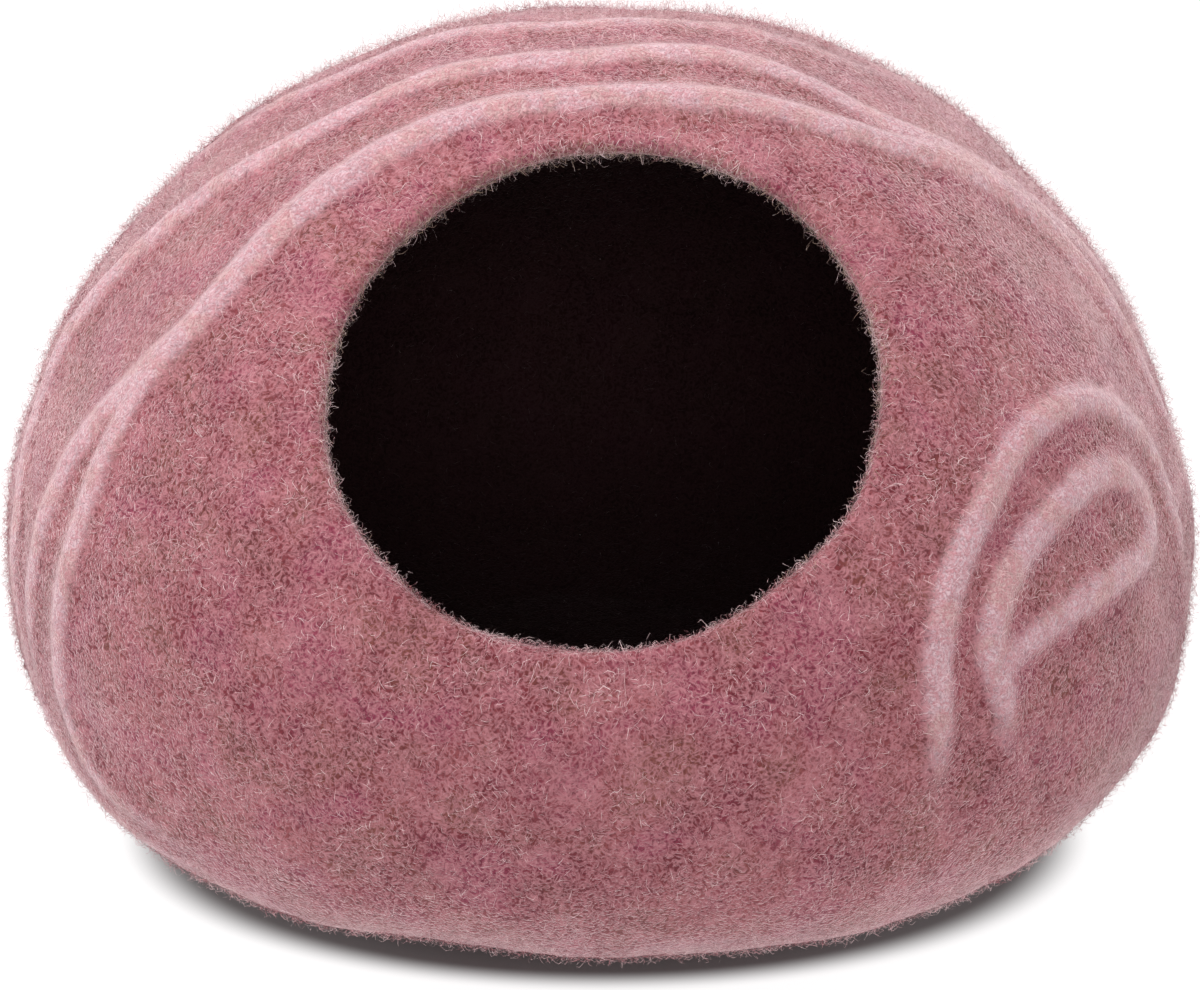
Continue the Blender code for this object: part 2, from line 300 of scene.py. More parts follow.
def unevenness(points):
    """Lumps of the hand-felted skin: the sum over the layers of rise * waves * sqrt(2 / WAVES)."""
    luck = np.random.default_rng(UNEVEN_SEED)
    total = np.zeros(len(points))
    for length, rise in UNEVEN:
        total += rise * waves_of(points, luck, length) * np.sqrt(2 / WAVES)
    return total * MILLIMETRE


def lie_of_wool(points):
    """The angle that the wool tends to lie at, in radians."""
    return FLOW_SWING * waves_of(points, np.random.default_rng(FLOW_SEED), FLOW_LENGTH)


def paler_places(points):
    """From about -1 to 1, how pale the loose wool is."""
    return waves_of(points, np.random.default_rng(PALER_SEED), PALER_LENGTH) / np.sqrt(2 * WAVES)


def felted(turn, inside, outside, roll):
    """Points of the felt, their rise on a rib as a share of a full rib's, and how far they are inside
    (0 to 1). The inside lies a felt's thickness within the plain skin, and a half round joins them at
    the lip: middle - half a felt * (cos(roll) * normal - sin(roll) * inwards), plus ribs and lumps."""
    edge = lip_angle(turn) + FELT / DEPTH
    away = edge + np.maximum(inside, outside) * (np.pi - edge)
    plain = skin(turn, away)
    normal = outward(plain)
    from_lip = (away - edge) * 0.5 * DEPTH
    curl = LIP_ROLL * np.exp(-((from_lip / LIP_ROLL_RUN) ** 2))
    middle = plain - (0.5 * FELT + curl)[:, None] * normal
    backwards = skin(turn, away + SMALL_STEP) - plain
    inwards = unit(np.sum(backwards * normal, axis=1, keepdims=True) * normal - backwards)
    points = middle - 0.5 * FELT * (np.cos(roll)[:, None] * normal - np.sin(roll)[:, None] * inwards)
    raised = rib_height(plain) * np.clip(outside / RIB_START, 0, 1)
    lumps = unevenness(points)
    points += raised[:, None] * normal
    points += lumps[:, None] * unit(points - middle)
    floor = np.where(roll < np.pi, FELT, 0.0)
    points[:, 2] = np.maximum(points[:, 2], floor)
    return points, raised / FULL_RIB, np.clip(1 - roll / LIP_TURN, 0, 1)


class Shell:
    """The felted shell as grids over rows (from the back of the inside, over the lip, to the back of
    the outside) and columns (round the mouth's axis): points, rib (its rise as a share of a full
    rib's), inside (0 to 1), the steps down a row and across a column, and the normals."""

    def __init__(self):
        rows = ROWS_INSIDE + ROWS_LIP + ROWS_OUTSIDE
        row = np.arange(rows + 1)
        inside = np.clip(1 - row / ROWS_INSIDE, 0, 1)
        outside = np.clip((row - ROWS_INSIDE - ROWS_LIP) / ROWS_OUTSIDE, 0, 1)
        roll = np.clip((row - ROWS_INSIDE) / ROWS_LIP, 0, 1) * np.pi
        turn = np.radians(SEAM_TURN) + 2 * np.pi * np.arange(COLUMNS + 1) / COLUMNS
        shape = (rows + 1, COLUMNS + 1)
        grids = (turn, inside[:, None], outside[:, None], roll[:, None])
        points, rib, inside = felted(*(np.broadcast_to(grid, shape).ravel() for grid in grids))
        middle = 0.5 * (points.min(axis=0) + points.max(axis=0))
        points[:, :2] -= middle[:2]
        self.points = points.reshape(*shape, 3)
        self.rib = rib.reshape(shape)
        self.inside = inside.reshape(shape)
        self.down = np.gradient(self.points, axis=0)
        wrapped = np.concatenate([self.points[:, -2:-1], self.points, self.points[:, 1:2]], axis=1)
        self.across = 0.5 * (wrapped[:, 2:] - wrapped[:, :-2])
        self.normals = unit(np.cross(self.down, self.across))

    def between(self, grid, row, column):
        """Values of a grid at fractional rows and columns, mixed from the four round each."""
        row = np.clip(row, 0, grid.shape[0] - 1.001)
        column = np.mod(column, COLUMNS)
        r, c = row.astype(int), column.astype(int)
        v, u = row - r, column - c
        if grid.ndim == 3:
            u, v = u[..., None], v[..., None]
        upper = grid[r, c] * (1 - u) + grid[r, c + 1] * u
        lower = grid[r + 1, c] * (1 - u) + grid[r + 1, c + 1] * u
        return upper * (1 - v) + lower * v


# ---------------------------------------------------------------- meshes


def mesh_piece(name, points, corners, sizes, uv, values, materials):
    """An object from arrays: points, the corner list of all faces, the faces' sizes, a map value for
    each corner, and named values for each point."""
    mesh = bpy.data.meshes.new(name)
    mesh.vertices.add(len(points))
    mesh.vertices.foreach_set("co", np.ascontiguousarray(points, dtype=np.float32).ravel())
    mesh.loops.add(len(corners))
    mesh.loops.foreach_set("vertex_index", corners.astype(np.int32))
    mesh.polygons.add(len(sizes))
    mesh.polygons.foreach_set("loop_start", np.concatenate([[0], np.cumsum(sizes)[:-1]]).astype(np.int32))
    mesh.polygons.foreach_set("loop_total", sizes.astype(np.int32))
    mesh.update(calc_edges=True)
    layer = mesh.uv_layers.new(name="OFBake")
    layer.data.foreach_set("uv", np.ascontiguousarray(uv, dtype=np.float32).ravel())
    for key, value in values.items():
        attribute = mesh.attributes.new(key, "FLOAT", "POINT")
        attribute.data.foreach_set("value", np.ascontiguousarray(value, dtype=np.float32).ravel())
    mesh.shade_smooth()
    for material in materials:
        mesh.materials.append(material)
    piece = bpy.data.objects.new(name, mesh)
    bpy.context.scene.collection.objects.link(piece)
    return piece


def map_points(u, v):
    """Points of a map from numbers or arrays of either coordinate, spread over each other."""
    return np.stack(np.broadcast_arrays(u, v), axis=-1)


def shell_piece(shell, outer, inner):
    """The shell's mesh: a quad between each two rows and columns, and a fan at either pole. Its map is
    the turn across and the row down. The rows of the inside have the inner felt."""
    rows = shell.points.shape[0] - 1
    ring = np.arange(COLUMNS)
    beside = (ring + 1) % COLUMNS
    body = shell.points[1:rows, :COLUMNS].reshape(-1, 3)
    first, last = len(body), len(body) + 1
    points = np.vstack([body, shell.points[0, 0], shell.points[rows, 0]])
    start = (np.arange(rows - 2) * COLUMNS)[:, None]
    below = start + COLUMNS
    quads = np.stack([start + ring, below + ring, below + beside, start + beside], axis=-1)
    top = np.stack([np.full(COLUMNS, first), ring, beside], axis=-1)
    low = (rows - 2) * COLUMNS
    bottom = np.stack([np.full(COLUMNS, last), low + beside, low + ring], axis=-1)
    corners = np.concatenate([quads.ravel(), top.ravel(), bottom.ravel()])
    quad_count = quads.shape[0] * COLUMNS
    sizes = np.concatenate([np.full(quad_count, 4), np.full(2 * COLUMNS, 3)])
    left, right = ring / COLUMNS, (ring + 1) / COLUMNS
    middle = 0.5 * (left + right)
    v = np.arange(rows + 1) / rows
    upper, lower = v[1 : rows - 1, None], v[2:rows, None]
    quad_map = [map_points(u, w) for u, w in ((left, upper), (left, lower), (right, lower), (right, upper))]
    top_map = [map_points(u, w) for u, w in ((middle, 0.0), (left, v[1]), (right, v[1]))]
    bottom_map = [map_points(u, w) for u, w in ((middle, 1.0), (right, v[-2]), (left, v[-2]))]
    uv = np.concatenate([np.stack(part, axis=-2).reshape(-1, 2) for part in (quad_map, top_map, bottom_map)])
    values = {}
    for key, grid in (("rib", shell.rib), ("inside", shell.inside)):
        values[key] = np.concatenate([grid[1:rows, :COLUMNS].ravel(), [grid[0, 0], grid[rows, 0]]])
    piece = mesh_piece("felt_cave", points, corners, sizes, uv, values, (outer, inner))
    slots = np.zeros(len(sizes), dtype=np.int32)
    slots[: (ROWS_INSIDE - 1) * COLUMNS] = 1
    slots[quad_count : quad_count + COLUMNS] = 1
    piece.data.polygons.foreach_set("material_index", slots)
    return piece


def scattered(shell, luck, count, weight):
    """Random places on the shell, as fractional rows and columns, as many to each patch as its area
    times its weight asks."""
    area = np.linalg.norm(np.cross(shell.across, shell.down), axis=-1)
    share = (area * weight)[:-1, :-1].ravel()
    cells = np.searchsorted(np.cumsum(share) / share.sum(), luck.random(count))
    row, column = np.divmod(cells, COLUMNS)
    return row + luck.random(count), column + luck.random(count)


def strands(shell, luck, row, column, length, bend, rise, arch):
    """Strands of wool that start on the shell at (row, column). In the skin's plane a strand runs on
    an arc that bends by `bend` in all, and it lifts off as rise * sin(arch * s) for s from 0 to 1, so
    that past a quarter turn it comes down again. Its points are skin(row, column) + normal * lift."""
    count = len(row)
    down = shell.between(shell.down, row, column)
    across = shell.between(shell.across, row, column)
    normal = unit(shell.between(shell.normals, row, column))
    ahead = unit(across)
    beside = np.cross(normal, ahead)
    place = shell.between(shell.points, row, column)
    either_way = np.pi * luck.integers(0, 2, count)
    heading = lie_of_wool(place) + either_way + luck.normal(0, HEADING_SPREAD, count)
    wobble = luck.normal(0, WOBBLE, (count, STEPS)) * np.abs(bend)[:, None]
    way = heading[:, None] + bend[:, None] * (np.arange(STEPS) + 0.5) / STEPS + wobble
    step = (length / STEPS)[:, None]
    root = np.zeros((count, 1))
    x = np.hstack([root, np.cumsum(step * np.cos(way), axis=1)])
    y = np.hstack([root, np.cumsum(step * np.sin(way), axis=1)])
    # The rows and columns that a step in the skin's plane moves by: the inverse of the map from them
    a, b = np.sum(across * ahead, 1), np.sum(down * ahead, 1)
    c, d = np.sum(across * beside, 1), np.sum(down * beside, 1)
    size = a * d - b * c
    columns = column[:, None] + (d[:, None] * x - b[:, None] * y) / size[:, None]
    rows = row[:, None] + (a[:, None] * y - c[:, None] * x) / size[:, None]
    s = np.linspace(0, 1, STEPS + 1)[None, :]
    lift = rise[:, None] * np.sin(arch[:, None] * s) - ROOT_DEPTH * (1 - s)
    facing = unit(shell.between(shell.normals, rows, columns))
    path = shell.between(shell.points, rows, columns) + facing * lift[..., None]
    return path, facing, lift, rows, columns


def wool_piece(name, path, facing, width, roll, values, material):
    """Ribbons along the paths: one point at either end and two points, a width apart, between. Each
    has a cell of its own in the map."""
    count, places = path.shape[:2]
    along = unit(np.gradient(path, axis=1))
    side = unit(np.cross(facing, along))
    side = unit(side * np.cos(roll)[:, None, None] + facing * np.sin(roll)[:, None, None])
    half = 0.5 * width[:, None, None] * side[:, 1:-1]
    left, right = path[:, 1:-1] - half, path[:, 1:-1] + half
    points = np.concatenate([path[:, :1], left, right, path[:, -1:]], axis=1)
    inner = places - 2
    each = 2 * inner + 2
    lefts, rights = 1 + np.arange(inner), 1 + inner + np.arange(inner)
    tips = np.array([[0, rights[0], lefts[0]], [each - 1, lefts[-1], rights[-1]]])
    quads = np.stack([lefts[:-1], rights[:-1], rights[1:], lefts[1:]], axis=1)
    start = (np.arange(count) * each)[:, None]
    pattern = np.concatenate([quads.ravel(), tips.ravel()])
    corners = (start + pattern).ravel()
    sizes = np.tile(np.concatenate([np.full(len(quads), 4), np.full(2, 3)]), count)
    cells = int(np.ceil(np.sqrt(count)))
    cell = np.stack(np.divmod(np.arange(count), cells), axis=1) / cells
    down = np.linspace(CELL_ROOT, CELL_TIP, places)
    local = np.vstack(
        [
            (CELL_MIDDLE, down[0]),
            map_points(CELL_LEFT, down[1:-1]),
            map_points(CELL_RIGHT, down[1:-1]),
            (CELL_MIDDLE, down[-1]),
        ]
    )
    uv = (cell[:, None] + local[pattern][None] / cells).reshape(-1, 2)
    values = {
        key: np.concatenate([grid[:, :1], grid[:, 1:-1], grid[:, 1:-1], grid[:, -1:]], axis=1).ravel()
        for key, grid in values.items()
    }
    return mesh_piece(name, points.reshape(-1, 3), corners, sizes, uv, values, (material,))


# ---------------------------------------------------------------- materials


class Wire:
    """A value that flows through a material's nodes. Sums, products and powers of wires and numbers
    add Math nodes."""

    def __init__(self, bench, socket):
        self.bench, self.socket = bench, socket

    def math(self, operation, *values, clamp=False):
        """A Math node on the values."""
        inputs = dict(enumerate(values))
        return self.bench.node("Math", {"operation": operation, "use_clamp": clamp}, inputs)

    def __add__(self, other):
        return self.math("ADD", self, other)

    def __sub__(self, other):
        return self.math("SUBTRACT", self, other)

    def __mul__(self, other):
        return self.math("MULTIPLY", self, other)

    def __truediv__(self, other):
        return self.math("DIVIDE", self, other)

    def __pow__(self, other):
        return self.math("POWER", self, other)

    def __rsub__(self, other):
        return self.math("SUBTRACT", other, self)

    def __abs__(self):
        return self.math("ABSOLUTE", self)

    __radd__ = __add__
    __rmul__ = __mul__

    def clamped(self):
        """The value, no less than 0 and no more than 1."""
        return self.math("ADD", self, 0.0, clamp=True)

    def most(self, other):
        """The greater of two values."""
        return self.math("MAXIMUM", self, other)


class Bench:
    """One material and its nodes."""

    def __init__(self, name):
        self.material = bpy.data.materials.new(name)
        self.material.use_nodes = True
        self.tree = self.material.node_tree
        self.tree.nodes.clear()

    def node(self, kind, settings=(), inputs=(), output=0):
        """A new node of that kind: its settings first, then its sockets' values or links."""
        made = self.tree.nodes.new("ShaderNode" + kind)
        for key, value in dict(settings).items():
            if key == "stops":
                self.fill_ramp(made.color_ramp, value)
            else:
                setattr(made, key, value)
        for key, value in dict(inputs).items():
            if isinstance(value, Wire):
                self.tree.links.new(value.socket, made.inputs[key])
            else:
                made.inputs[key].default_value = value
        return Wire(self, made.outputs[output]) if len(made.outputs) else None

    def fill_ramp(self, ramp, stops):
        """Gives a colour ramp its stops: each a place from 0 to 1 and a colour."""
        while len(ramp.elements) < len(stops):
            ramp.elements.new(0.5)
        for element, (place, colour) in zip(ramp.elements, stops):
            element.position = place
            element.color = (*colour, 1.0)

    def place(self):
        """The place on the piece, in millimetres."""
        where = self.node("TexCoord", output="Object")
        return self.node("VectorMath", {"operation": "SCALE"}, {"Vector": where, "Scale": 1 / MILLIMETRE})

    def moved(self, place, offset):
        """A place moved by an offset."""
        return self.node("VectorMath", {"operation": "ADD"}, {0: place, 1: offset})

    def coordinate(self, place, axis):
        """One coordinate of a place: X, Y or Z."""
        return self.node("SeparateXYZ", inputs={0: place}, output=axis)

    def noise(self, place, length, offset=None, detail=1.0, roughness=0.5, output="Fac"):
        """Smooth noise from 0 to 1 whose lumps are about `length` millimetres across. An offset makes
        it another noise than the others of that length, and the output Color gives three at once."""
        where = place if offset is None else self.moved(place, offset)
        inputs = {"Vector": where, "Scale": 1.0 / length, "Detail": detail, "Roughness": roughness}
        return self.node("TexNoise", {"noise_dimensions": "3D"}, inputs, output)

    def attribute(self, name):
        """A named value of the piece's points."""
        return self.node("Attribute", {"attribute_name": name}, output="Fac")

    def step(self, value, low, high):
        """0 below low, 1 above high and smooth between them, or the other way round if low > high."""
        settings = {"interpolation_type": "SMOOTHSTEP"}
        return self.node("MapRange", settings, {"Value": value, "From Min": low, "From Max": high}, "Result")

    def mixed(self, share, first, second):
        """Two colours mixed by a share: 0 is the first and 1 the second. The Mix node's sockets for
        colours are its inputs 6 and 7 and its output 2."""
        first, second = (colour if isinstance(colour, Wire) else (*colour, 1.0) for colour in (first, second))
        return self.node("Mix", {"data_type": "RGBA"}, {0: share, 6: first, 7: second}, 2)

    def finish(self, inputs):
        """The material, with a Principled shader that takes these inputs."""
        shader = self.node("BsdfPrincipled", inputs=inputs)
        self.node("OutputMaterial", inputs={"Surface": shader})
        return self.material


def srgb(red, green, blue):
    """A colour as a picture gives it, 0 to 255, turned into the linear values that shaders take."""
    values = np.array([red, green, blue]) / 255
    return tuple(np.where(values <= 0.04045, values / 12.92, ((values + 0.055) / 1.055) ** 2.4).tolist())


# Wool colours
DEEP_ROSE = srgb(80, 33, 41)
ROSE = srgb(109, 42, 50)
DUSTY_ROSE = srgb(132, 69, 73)
MAGENTA = srgb(132, 53, 80)
BROWN = srgb(112, 70, 58)
PALE_PINK = srgb(180, 121, 128)
# Painted backlight: the whitish pink that the standing wool turns to, also the colour of its painted glow
BACKLIT_VEIL = srgb(214, 189, 190)
BEIGE = srgb(166, 142, 120)
UMBER = srgb(92, 68, 54)
RIB_PINK = srgb(205, 177, 184)
RIB_BEIGE = srgb(197, 163, 160)
# Painted shade: the inside of the cave is coloured nearly black to stand in for the shade in it
INSIDE_PAINTED_SHADE = srgb(14, 5, 5)
SHEEN = srgb(242, 224, 226)
BLACK = (0.0, 0.0, 0.0)
WHITE = (1.0, 1.0, 1.0)

# ---- Clouds of colour in the wool. Lengths, offsets and heights are in millimetres ----
BROAD_LENGTH = 38.0
BROAD_LEVELS = (0.36, 0.62)      # from rose to dusty rose
# Columns: a noise's length and offset, how strong its clouds are, and the levels and colour of either
CLOUDS = (
    (22.0, (200, 90, 40), 0.60, (0.50, 0.66), MAGENTA, (0.48, 0.32), BROWN),
    (16.0, (15, 60, 120), 0.35, (0.46, 0.30), DEEP_ROSE, (0.54, 0.70), PALE_PINK),
)
PALE_HEIGHTS = (95.0, 20.0)      # from the upper to the lower, the wool turns paler
PALE_SHARE = 0.28                # and how much paler it gets

# ---- The ribs' wool ----
TINGE_LENGTH = 14.0
TINGE_OFFSET = (90, 10, 170)
TINGE_LEVELS = (0.46, 0.60)      # from pink to beige
TINGE_SHARE = 0.8
RIB_EDGE = (0.10, 0.62)          # share of a full rib's height at which it starts and ends to turn pale
RIB_FRAY = 0.4                   # how far the felt's clumps move that edge, in the same shares
RIB_FELT_SHARE = 0.86            # how far the felt turns pale on a rib
RIB_WOOL_SHARE = 0.72            # and the loose wool

# ---- The felt's surface ----
CLUMP_LENGTH = 5.0
CLUMP_OFFSET = (70, 160, 220)
CLUMP_DETAIL, CLUMP_ROUGHNESS = 2.0, 0.6
CLUMP_LEVELS = (0.50, 0.30)      # from the ground's colour to the dark places between the clumps
CLUMP_SHARE = 0.25
GRAIN_LENGTH = 0.8               # between the felt's gaps, which are darkened as painted shade
# Levels of the grain noise between which the painted shade of the gaps comes in
GAP_SHADE_LEVELS = (0.55, 0.32)
GAP_SHADE_SHARE = 0.57               # how dark the painted shade in the gaps is
GAP_SHADE_LESS = 0.20                # and how much less on a full rib
# The fibre lines. Columns: their colour, the wave length of the noise that they follow (millimetres),
# the level that they follow, how sharp and how strong they are, and the noise's offset
FIBRE_LINES = (
    (PALE_PINK, 2.0, 0.46, 7.0, 0.54, (31, 7, 13)),
    (PALE_PINK, 1.6, 0.55, 6.0, 0.50, (5, 47, 29)),
    (PALE_PINK, 1.8, 0.50, 8.0, 0.46, (61, 23, 3)),
    (PALE_PINK, 1.3, 0.47, 5.0, 0.44, (83, 11, 59)),
)
LINE_GATE = (0.38, 0.54)         # a line comes in between these levels of another line's noise
LINE_GATE_SHIFT = 2              # how many rows on that other line is
LINE_WANDER = (6.0, 4.0)         # length and reach of the waves that turn the lines
RELIEF = 0.8                     # height of the grain and of each line, as a share of the bump's depth
BUMP_DEPTH = 0.4 * MILLIMETRE
BUMP_STRENGTH = 0.6
INSIDE_SHADE_SHARE = 0.9               # how far the felt and wool turn to the painted shade of the inside
# The inner felt has little sheen, so that its painted shade stays dark
OUTER_SHEEN, INNER_SHEEN = 0.95, 0.1

# ---- The loose wool's strands ----
STRAND_STOPS = (                 # their colour by their tone
    (0.0, DEEP_ROSE),
    (0.25, ROSE),
    (0.6, PALE_PINK),
    (PALEST, BACKLIT_VEIL),
    (BEIGE_TONES[0], UMBER),
    (BEIGE_TONES[1], BEIGE),
)
STRAND_SHARE = 0.45              # how much of its colour is its own in the darkest strand
STRAND_SHARE_RISE = 0.5          # and how much more in the palest
GLOW_TONES = (0.5, 0.9)          # tones between which a free end starts to shine
GLOW = 0.13                      # and how much it shines

# ---- The floor's paper. Lengths are in millimetres ----
PAPER_FRONT, PAPER_BACK = 0.18, 0.10     # how much light it reflects
PAPER_TURN = (-100.0, 350.0)     # depths between which that changes
PAPER_CLOUD = 300.0              # length of its slight clouds
PAPER_CLOUD_SHARE = 0.04
PAPER_GLOW = 0.91                # how much it shines
SHADOW_OVAL_LONG, SHADOW_OVAL_DEEP = 179.0, 98.0       # half lengths of the oval of painted shadow under the cave, where the paper does not glow
SHADOW_OVAL_DRAWN = 60.0                # how far either half of it is drawn apart in depth
SHADOW_OVAL_ASIDE = 3.0                 # how far it lies to the right
SHADOW_OVAL_EDGE = (0.93, 1.07)         # shares of its size between which the light begins


def wool_ground(bench, place):
    """Colour of the wool under the separate fibres: rose with dusty, magenta and brown clouds and
    deeper and paler patches, and paler towards the floor."""
    broad = bench.noise(place, BROAD_LENGTH)
    colour = bench.mixed(bench.step(broad, *BROAD_LEVELS), ROSE, DUSTY_ROSE)
    for length, offset, strength, one_levels, one, other_levels, other in CLOUDS:
        cloud = bench.noise(place, length, offset)
        colour = bench.mixed(bench.step(cloud, *one_levels) * strength, colour, one)
        colour = bench.mixed(bench.step(cloud, *other_levels) * strength, colour, other)
    height = bench.coordinate(place, "Z")
    return bench.mixed(bench.step(height, *PALE_HEIGHTS) * PALE_SHARE, colour, PALE_PINK)


def rib_ground(bench, place):
    """Colour of the ribs' wool: pale pink with beige patches."""
    tinge = bench.noise(place, TINGE_LENGTH, TINGE_OFFSET)
    return bench.mixed(bench.step(tinge, *TINGE_LEVELS) * TINGE_SHARE, RIB_PINK, RIB_BEIGE)


def felt_material(name, sheen):
    """The shell's felt: the clouded ground with a fine grain of painted shade in the low places of its
    relief, crossed by pale fibre lines, each of which follows one level of a noise. It is pale on the
    ribs and painted nearly black inside, as shade."""
    bench = Bench(name)
    place = bench.place()
    rib, inside = bench.attribute("rib"), bench.attribute("inside")
    clump = bench.noise(place, CLUMP_LENGTH, CLUMP_OFFSET, CLUMP_DETAIL, CLUMP_ROUGHNESS)
    grain = bench.noise(place, GRAIN_LENGTH)
    on_rib = bench.step(rib + (clump - 0.5) * RIB_FRAY, *RIB_EDGE) * RIB_FELT_SHARE
    colour = bench.mixed(on_rib, wool_ground(bench, place), rib_ground(bench, place))
    # Painted shade in the felt's gaps, at the low places of its relief
    gap_shade = bench.step(grain, *GAP_SHADE_LEVELS) * (GAP_SHADE_SHARE - on_rib * GAP_SHADE_LESS)
    colour = bench.mixed(gap_shade, colour, DEEP_ROSE)
    colour = bench.mixed(bench.step(clump, *CLUMP_LEVELS) * CLUMP_SHARE, colour, DEEP_ROSE)
    wave_length, reach = LINE_WANDER
    waves = bench.noise(place, wave_length, output="Color")
    turns = bench.node("VectorMath", {"operation": "SCALE"}, {0: waves, "Scale": reach})
    wandering = bench.moved(place, turns)
    noises = [bench.noise(wandering, length, offset, 0.0) for _, length, _, _, _, offset in FIBRE_LINES]
    height = grain * RELIEF
    for index, (tint, _, level, sharp, strength, _) in enumerate(FIBRE_LINES):
        other = noises[(index + LINE_GATE_SHIFT) % len(noises)]
        line = (1.0 - abs(noises[index] - level) * sharp).clamped() * bench.step(other, *LINE_GATE)
        colour = bench.mixed(line * strength, colour, tint)
        height = height + line * RELIEF
    bump = {"Strength": BUMP_STRENGTH, "Distance": BUMP_DEPTH, "Height": height}
    return bench.finish(
        {
            # Painted shade: the inside turns nearly black
            "Base Color": bench.mixed(inside * INSIDE_SHADE_SHARE, colour, INSIDE_PAINTED_SHADE),
            "Roughness": 0.92,
            "Specular IOR Level": 0.15,
            "Sheen Weight": sheen,
            "Sheen Roughness": 0.34,
            "Sheen Tint": (*SHEEN, 1.0),
            "Normal": bench.node("Bump", inputs=bump),
        }
    )


def wool_material():
    """Loose wool: each strand has a tone of its own over the clouded ground, paler on the ribs and,
    as painted backlight, towards its free end, which also shines a little with a painted glow, as
    light passes through thin fibres."""
    bench = Bench("loose_rose_wool")
    place = bench.place()
    tone, rib, inside = (bench.attribute(name) for name in ("tone", "rib", "inside"))
    strand = bench.node("ValToRGB", {"stops": STRAND_STOPS}, {"Fac": tone}, "Color")
    colour = bench.mixed(tone * STRAND_SHARE_RISE + STRAND_SHARE, wool_ground(bench, place), strand)
    colour = bench.mixed(bench.step(rib, *RIB_EDGE) * RIB_WOOL_SHARE, colour, rib_ground(bench, place))
    bench.material.cycles.emission_sampling = "NONE"
    return bench.finish(
        {
            # Painted shade: the inside turns nearly black
            "Base Color": bench.mixed(inside * INSIDE_SHADE_SHARE, colour, INSIDE_PAINTED_SHADE),
            "Roughness": 0.85,
            "Specular IOR Level": 0.2,
            "Sheen Weight": 0.85,
            "Sheen Roughness": 0.42,
            "Sheen Tint": (*SHEEN, 1.0),
            "Emission Color": bench.mixed(bench.step(tone, *GLOW_TONES) * (1.0 - inside), BLACK, BACKLIT_VEIL),
            "Emission Strength": GLOW,
        }
    )


def floor_material():
    """Matt white paper lit from below, as on a light table, but for a soft oval of painted shadow under
    the cave, where it does not glow. It reflects less behind, where the lamps are nearer, so that it
    looks evenly white."""
    bench = Bench("white_paper")
    place = bench.place()
    x, y = bench.coordinate(place, "X"), bench.coordinate(place, "Y")
    paper = bench.mixed(bench.step(y, *PAPER_TURN), (PAPER_FRONT,) * 3, (PAPER_BACK,) * 3)
    cloud = bench.noise(place, PAPER_CLOUD, detail=2.0)
    # Painted shadow: the paper's glow is off in an oval under the cave
    across = (x - SHADOW_OVAL_ASIDE) / SHADOW_OVAL_LONG
    deep = (abs(y) - SHADOW_OVAL_DRAWN).most(0.0) / SHADOW_OVAL_DEEP
    away = (across**2.0 + deep**2.0) ** 0.5
    return bench.finish(
        {
            "Base Color": bench.mixed(cloud * PAPER_CLOUD_SHARE, paper, WHITE),
            "Roughness": 0.9,
            "Specular IOR Level": 0.1,
            "Emission Color": bench.mixed(bench.step(away, *SHADOW_OVAL_EDGE), BLACK, (PAPER_GLOW,) * 3),
            "Emission Strength": 1.0,
        }
    )


# ---------------------------------------------------------------- the scene


def camera():
    """The photograph's camera: in front of the mouth, looking down at the cave."""
    rise = np.radians(CAMERA_RISE)
    back = Vector((0.0, -np.cos(rise), np.sin(rise)))
    data = bpy.data.cameras.new("camera")
    data.lens = CAMERA_LENS
    data.sensor_width = CAMERA_SENSOR
    data.clip_start, data.clip_end = CAMERA_CLIP
    made = bpy.data.objects.new("camera", data)
    made.location = Vector(CAMERA_TARGET) + back * CAMERA_DISTANCE
    made.rotation_mode = "QUATERNION"
    made.rotation_quaternion = (-back).to_track_quat("-Z", "Y")
    bpy.context.scene.collection.objects.link(made)
    bpy.context.scene.camera = made


# Columns: name, place, what it faces, side lengths (metres) and watts
LIGHTS = (
    ("top_softbox", (-0.4, 0.1, 2.0), (0.0, 0.0, 0.1), (2.0, 1.4), 39.0),
    ("left_softbox", (-1.9, -0.6, 1.2), (0.0, 0.0, 0.1), (1.0, 1.0), 19.0),
    ("right_softbox", (2.0, -0.5, 1.0), (0.0, 0.0, 0.1), (1.0, 1.0), 12.5),
    ("front_softbox", (0.1, -2.4, 1.3), (0.0, 0.0, 0.1), (1.6, 1.0), 18.0),
    ("back_softbox", (0.2, 2.0, 1.4), (0.0, 0.0, 0.15), (2.0, 1.0), 26.0),
)
WORLD_STRENGTH = 0.44
FLOOR_REACH = 8.0                # from its middle to its edges


def studio():
    """The paper floor, the softboxes and an even white surrounding."""
    corners = [(FLOOR_REACH * x, FLOOR_REACH * y, 0.0) for x, y in ((-1, -1), (1, -1), (1, 1), (-1, 1))]
    floor_mesh = bpy.data.meshes.new("studio_floor")
    floor_mesh.from_pydata(corners, [], [(0, 1, 2, 3)])
    floor_mesh.materials.append(floor_material())
    floor = bpy.data.objects.new("studio_floor", floor_mesh)
    bpy.context.scene.collection.objects.link(floor)
    for name, place, target, size, watts in LIGHTS:
        data = bpy.data.lights.new(name, "AREA")
        data.shape = "RECTANGLE"
        data.size, data.size_y = size
        data.energy = watts
        light = bpy.data.objects.new(name, data)
        light.location = place
        light.rotation_mode = "QUATERNION"
        light.rotation_quaternion = (Vector(target) - Vector(place)).to_track_quat("-Z", "Y")
        bpy.context.scene.collection.objects.link(light)
    world = bpy.data.worlds.new("studio")
    world.use_nodes = True
    background = world.node_tree.nodes["Background"]
    background.inputs["Color"].default_value = (*WHITE, 1.0)
    background.inputs["Strength"].default_value = WORLD_STRENGTH
    bpy.context.scene.world = world
    bpy.context.scene.view_settings.view_transform = "Standard"


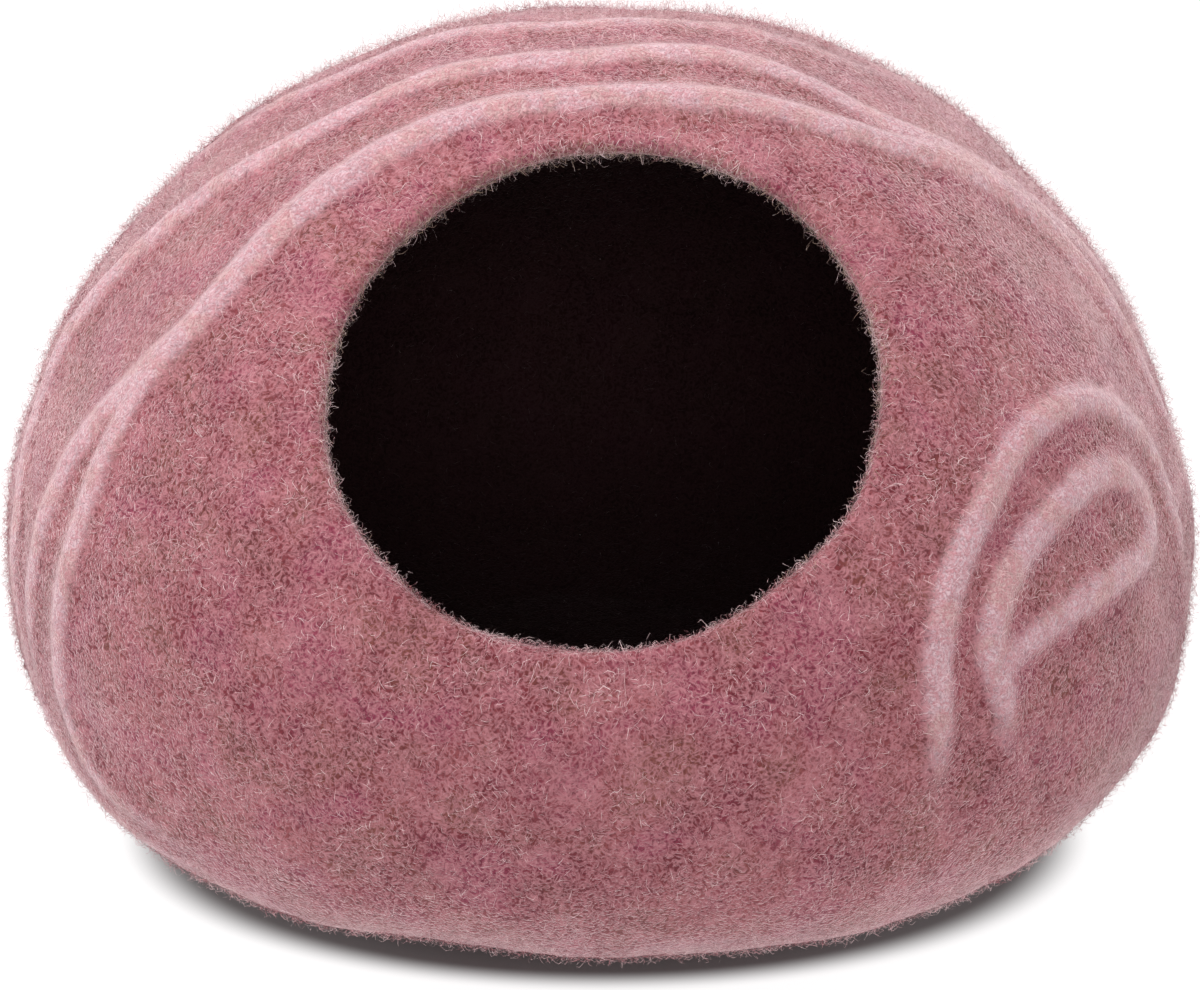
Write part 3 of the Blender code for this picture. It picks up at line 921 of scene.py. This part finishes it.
def strand_tones(luck, place, lift, by_lip):
    """Tones along the strands: each has a chance tone of its own, raised or lowered by the slow
    changes, raised near the floor and at the lip, and raised by its lift as painted backlight. Some
    at the lip's top are beige or brown all along."""
    own = TONE_LOW + TONE_RANGE * luck.beta(TONE_SHAPE, TONE_SHAPE, len(place))
    own += PALER_SWING * paler_places(place)
    height = place[:, 2]
    own += PALER_LOW * np.clip(1 - height / LOW_PLACES, 0, 1) + PALER_AT_LIP * by_lip
    # Painted backlight: the further a strand stands off the felt, the paler it is
    tone = np.clip(own[:, None] + BACKLIT_PALER_BY * np.maximum(lift, 0) / MILLIMETRE, 0, PALEST)
    share = BEIGE_AT_LIP * np.clip((height - BEIGE_FROM) / (BEIGE_TO - BEIGE_FROM), 0, 1)
    beige = luck.random(len(place)) < share * by_lip
    tone[beige] = luck.uniform(*BEIGE_TONES, beige.sum())[:, None]
    return tone


def loose_wool(shell, material):
    """The pieces of loose wool, one for each row of WOOL. The strands start at random places, densest
    on the lip's crest, few of them inside and none on the flat of the base."""
    bare = shell.points[..., 2] < BARE_BELOW
    weight = np.where(shell.inside > 0.5, INSIDE_WOOL, 1.0) * np.where(bare, 0.0, 1.0)
    lip_place = (np.arange(shell.points.shape[0]) - ROWS_INSIDE) / ROWS_LIP
    row_by_lip = np.clip(1 - np.abs(lip_place - LIP_CREST) / LIP_REACH, 0, 1)
    pieces = []
    for index, (name, count, short, long, width, rise, spread, bend, spin, lip) in enumerate(WOOL):
        luck = np.random.default_rng(WOOL_SEED + index)
        row, column = scattered(shell, luck, count, weight * (1 + (lip - 1) * row_by_lip)[:, None])
        place = shell.between(shell.points, row, column)
        by_lip = row_by_lip[row.astype(int)]
        lengths = luck.uniform(short, long, count) * MILLIMETRE
        bends = np.radians(luck.normal(0, bend, count))
        rises = np.abs(luck.normal(rise, spread, count)) * MILLIMETRE
        rises *= RISE_LOW + (RISE_HIGH - RISE_LOW) * place[:, 2] / HEIGHT
        rises *= 1 + (RISE_AT_LIP - 1) * by_lip
        arches = luck.uniform(*ARCH, count)
        widths = luck.uniform(*WIDTH_SPREAD, count) * width * MILLIMETRE
        path, facing, lift, rows, columns = strands(shell, luck, row, column, lengths, bends, rises, arches)
        path[..., 2] = np.maximum(path[..., 2], FLOOR_GAP)
        rolls = np.radians(luck.uniform(-spin, spin, count))
        values = {
            "tone": strand_tones(luck, place, lift, by_lip),
            "rib": shell.between(shell.rib, rows, columns),
            "inside": shell.between(shell.inside, rows, columns),
        }
        pieces.append(wool_piece(name, path, facing, widths, rolls, values, material))
    return pieces


camera()
studio()
shell = Shell()
cave = shell_piece(shell, felt_material("rose_felt", OUTER_SHEEN), felt_material("inner_felt", INNER_SHEEN))
wool = loose_wool(shell, wool_material())
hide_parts("felt_shell")
for piece in (cave, *wool):
    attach(piece, "root")
